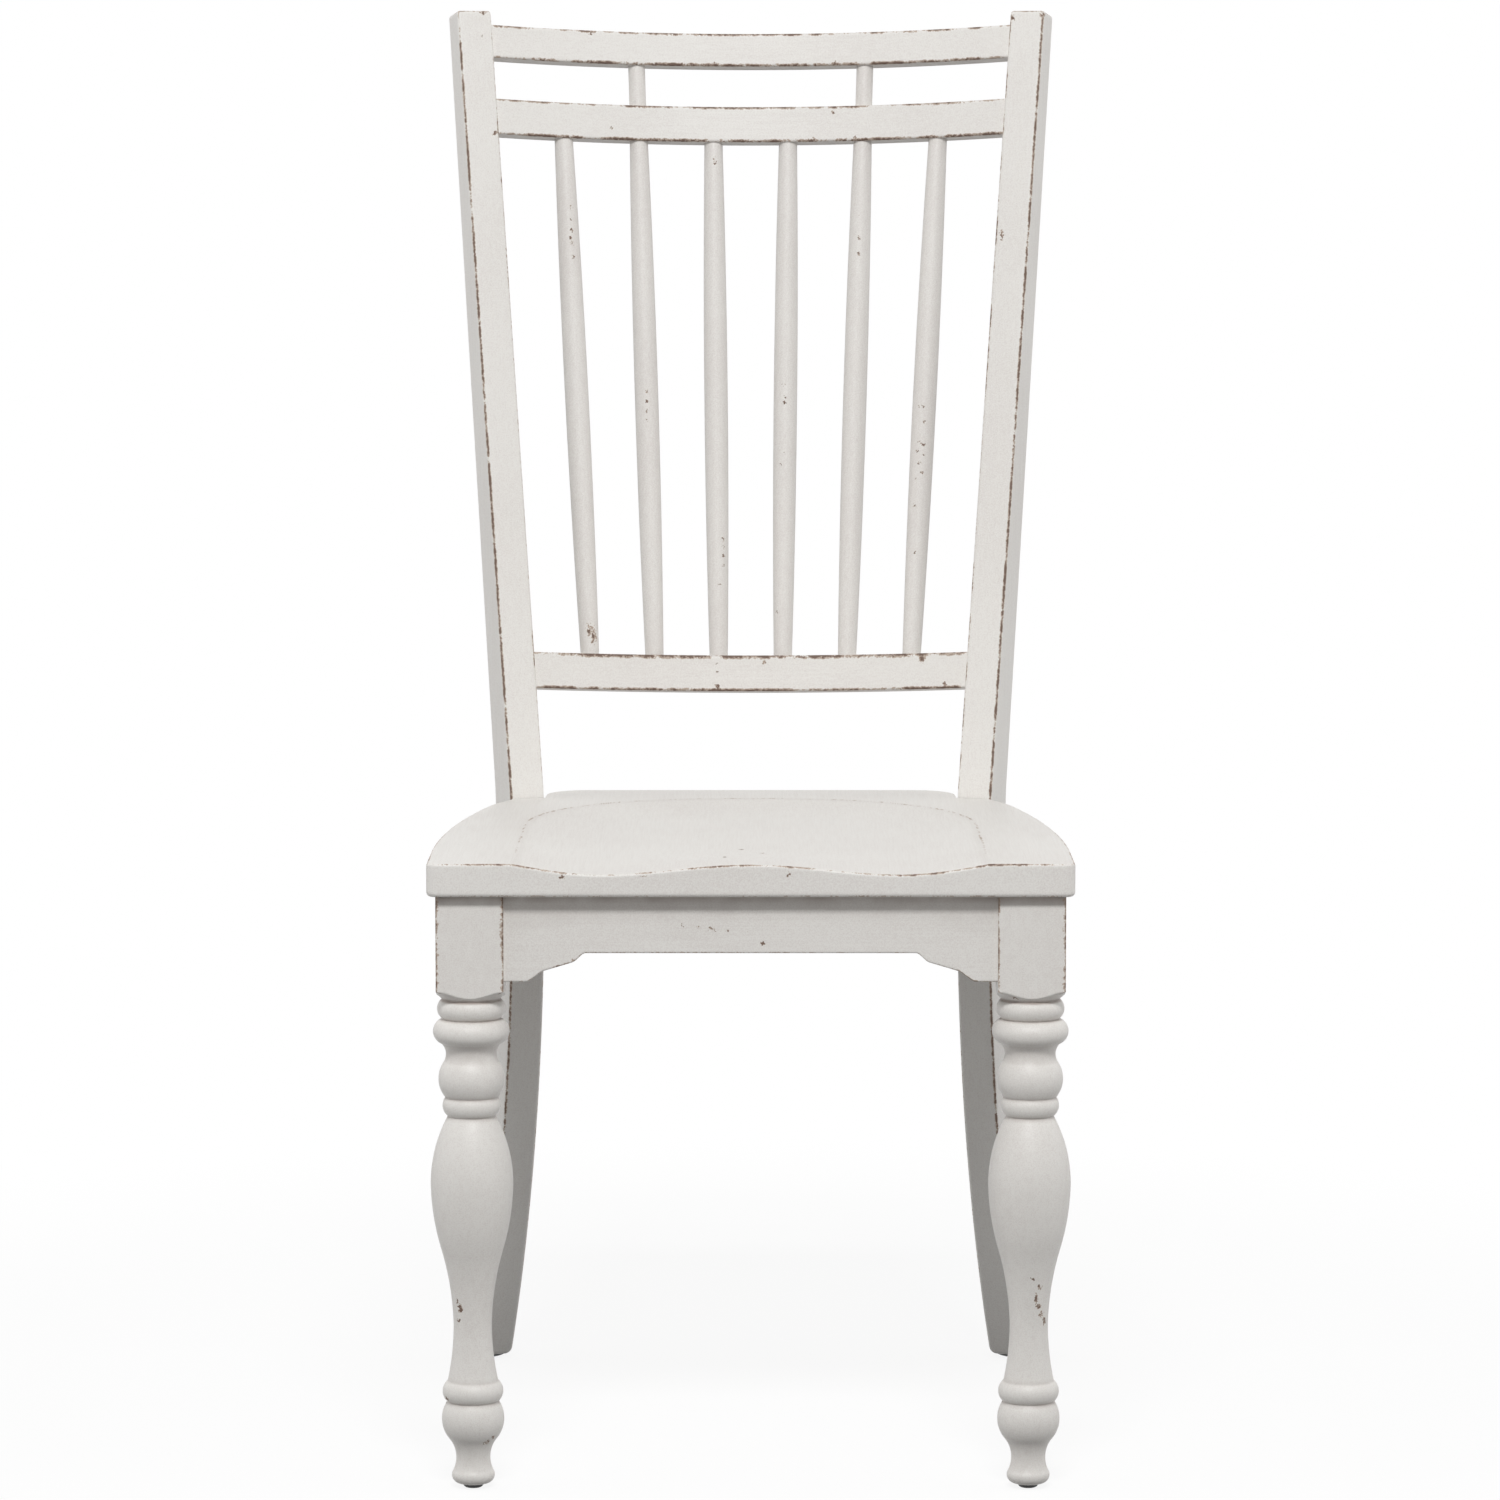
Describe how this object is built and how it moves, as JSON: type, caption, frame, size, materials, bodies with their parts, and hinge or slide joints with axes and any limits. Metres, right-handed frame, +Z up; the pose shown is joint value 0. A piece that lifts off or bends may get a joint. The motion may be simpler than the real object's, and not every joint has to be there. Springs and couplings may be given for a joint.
{
  "type": "spindle back side chair",
  "caption": "Painted wooden side chair: spindle back between curved rails, saddle-shaped seat, turned front legs, bracketed front apron and splayed rear posts.",
  "frame": {"origin": "on the floor, under the middle of the whole chair's bounding box", "axes": "+X to the right as seen from the front, +Y to the back, +Z up; the chair faces -Y; left and right are as seen from the front"},
  "size_m": [0.4814, 0.5904, 1.0839],
  "materials": {
    "painted_wood": "antique white satin paint, rubbed through to brown wood along the edges",
    "bare_wood": "unpainted hardwood",
    "screw_steel": "zinc-plated steel",
    "glide_plastic": "black nylon"
  },
  "bodies": {
    "root": {"seat": "painted_wood", "front_leg_left": "painted_wood", "front_leg_right": "painted_wood", "rear_post_left": "painted_wood", "rear_post_right": "painted_wood", "crest_rail": "painted_wood", "upper_back_rail": "painted_wood", "lower_back_rail": "painted_wood", "spindle_1": "painted_wood", "spindle_2": "painted_wood", "spindle_3": "painted_wood", "spindle_4": "painted_wood", "spindle_5": "painted_wood", "spindle_6": "painted_wood", "front_apron": "painted_wood", "side_apron_left": "painted_wood", "side_apron_right": "painted_wood", "rear_apron": "painted_wood", "corner_block_front_left": "bare_wood", "corner_block_front_right": "bare_wood", "corner_block_rear_left": "bare_wood", "corner_block_rear_right": "bare_wood", "apron_dowels": "bare_wood", "corner_block_screws": "screw_steel", "seat_screws": "screw_steel", "front_glide_left": "glide_plastic", "front_glide_right": "glide_plastic", "rear_glide_left": "glide_plastic", "rear_glide_right": "glide_plastic"}
  },
  "joints": []
}
